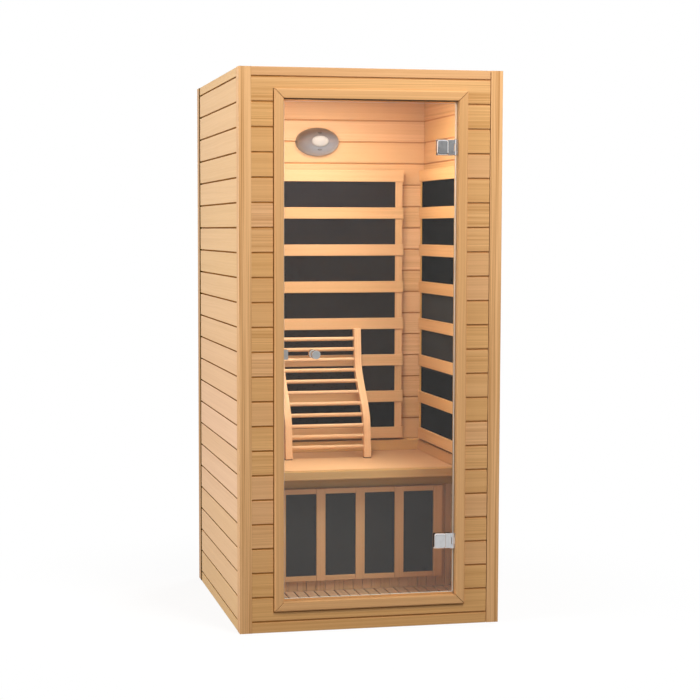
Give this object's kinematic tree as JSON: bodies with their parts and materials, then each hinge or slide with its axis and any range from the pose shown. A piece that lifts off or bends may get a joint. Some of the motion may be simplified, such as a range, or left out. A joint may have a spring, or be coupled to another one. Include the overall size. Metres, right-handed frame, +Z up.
{
  "type": "infrared sauna cabin",
  "caption": "Free-standing infrared sauna cabin of grooved pale wood with a hinged glass door, slatted carbon heaters, a bench, a wall lamp and a loose curved backrest.",
  "frame": {"origin": "on the ground in the middle of the cabin's footprint", "axes": "+X to the right seen from the front (hinge side), +Y from the door to the back wall, +Z up"},
  "size_m": [0.914, 0.9673, 1.905],
  "materials": {
    "outer_wood": "clear satin softwood boards with fine straight grain",
    "room_wood": "bare pale softwood, sanded",
    "bench_wood": "smooth sanded softwood slab with rounded edges",
    "backrest_wood": "pale smooth softwood, rounded",
    "carbon_panel": "dark grey carbon laminate with a fine weave",
    "polished_steel": "polished stainless steel",
    "satin_nickel": "satin nickel",
    "opal_lens": "opal white, lit from behind",
    "door_glass": "clear toughened glass with a grey-green edge",
    "black_plastic": "matt black moulded plastic",
    "grey_plastic": "grey moulded plastic"
  },
  "bodies": {
    "cabin": {"back_frame": "outer_wood", "back_heater": "carbon_panel", "back_heater_guard": "room_wood", "back_inner_boards": "room_wood", "back_outer_boards": "outer_wood", "bench_cleat_left": "bench_wood", "bench_cleat_right": "bench_wood", "bench_front_boards": "room_wood", "bench_top": "bench_wood", "calf_heater": "carbon_panel", "calf_heater_guard": "room_wood", "casing_bottom": "outer_wood", "casing_left": "outer_wood", "casing_right": "outer_wood", "casing_top": "outer_wood", "catch_magnet": "black_plastic", "ceiling_boards": "room_wood", "control_panel": "black_plastic", "floor_boards": "room_wood", "floor_frame": "room_wood", "front_frame": "outer_wood", "front_inner_boards": "room_wood", "front_outer_boards": "outer_wood", "hinge_lower_leaf": "polished_steel", "hinge_lower_pin": "polished_steel", "hinge_upper_leaf": "polished_steel", "hinge_upper_pin": "polished_steel", "lamp_dome": "satin_nickel", "lamp_lens": "opal_lens", "left_heater": "carbon_panel", "left_heater_guard": "room_wood", "left_inner_boards": "room_wood", "left_outer_boards": "outer_wood", "power_unit": "grey_plastic", "right_heater": "carbon_panel", "right_heater_guard": "room_wood", "right_inner_boards": "room_wood", "right_outer_boards": "outer_wood", "roof_cover": "outer_wood"},
    "door": {"door_glass": "door_glass", "hinge_upper_clamp": "polished_steel", "hinge_upper_backplate": "polished_steel", "hinge_lower_clamp": "polished_steel", "hinge_lower_backplate": "polished_steel", "knob_outer": "polished_steel", "knob_inner": "polished_steel", "catch_plate": "polished_steel"},
    "backrest": {"backrest_dowel_01": "backrest_wood", "backrest_dowel_02": "backrest_wood", "backrest_dowel_03": "backrest_wood", "backrest_dowel_04": "backrest_wood", "backrest_dowel_05": "backrest_wood", "backrest_dowel_06": "backrest_wood", "backrest_dowel_07": "backrest_wood", "backrest_dowel_08": "backrest_wood", "backrest_dowel_09": "backrest_wood", "backrest_dowel_10": "backrest_wood", "backrest_dowel_11": "backrest_wood", "backrest_rail_left": "backrest_wood", "backrest_rail_right": "backrest_wood"}
  },
  "joints": [
    {"name": "door_hinge", "type": "hinge", "parent": "cabin", "child": "door", "pos_m": [0.2934, -0.4693, 0.9685], "axis": [0, 0, 1], "range_deg": [0, 105]},
    {"name": "backrest_slide", "type": "slide", "parent": "cabin", "child": "backrest", "axis": [1, 0, 0], "range_m": [-0.17, 0.17]}
  ]
}
